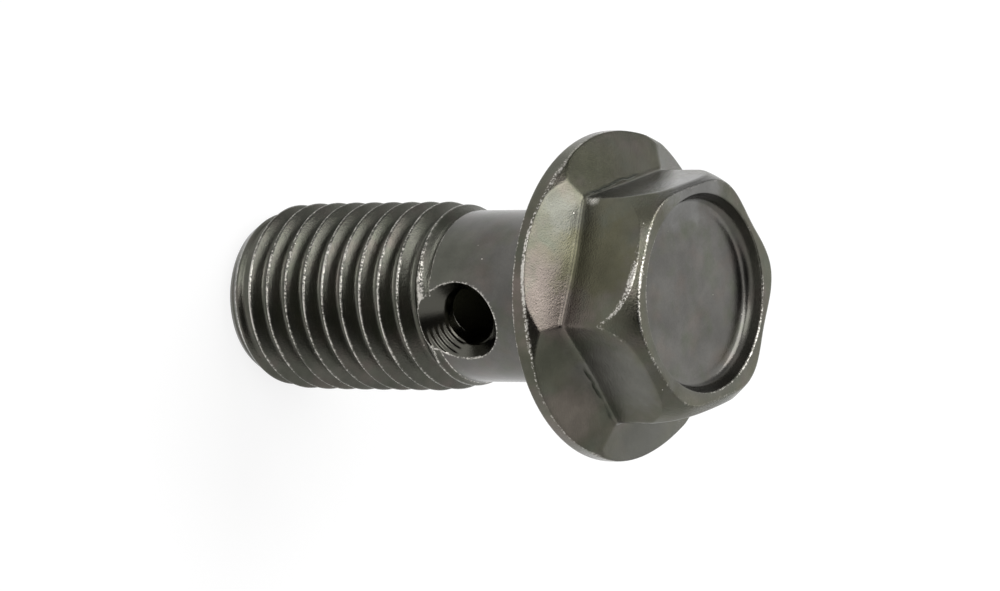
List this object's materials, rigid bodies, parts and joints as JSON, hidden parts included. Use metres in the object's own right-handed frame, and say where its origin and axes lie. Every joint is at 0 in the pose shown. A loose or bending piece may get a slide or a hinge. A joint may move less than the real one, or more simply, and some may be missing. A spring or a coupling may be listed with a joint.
{
  "type": "banjo bolt",
  "caption": "Flanged hexagon banjo bolt: fine-pitch thread on a drilled hollow shank, with a cross hole below a round flared flange and a dished head.",
  "frame": {"origin": "centre of the flat seat under the head, on the bolt's axis", "axes": "+Z along the axis from the threaded tip to the head; +X along the cross hole. The bolt stands on its tip with the head up"},
  "size_m": [0.0172, 0.0172, 0.0282],
  "materials": {
    "black_steel": "dark olive-black plating on forged and rolled steel, semi-gloss, rubbed to bare metal on edges and thread crests"
  },
  "bodies": {
    "root": {"banjo_bolt": "black_steel"}
  },
  "joints": []
}
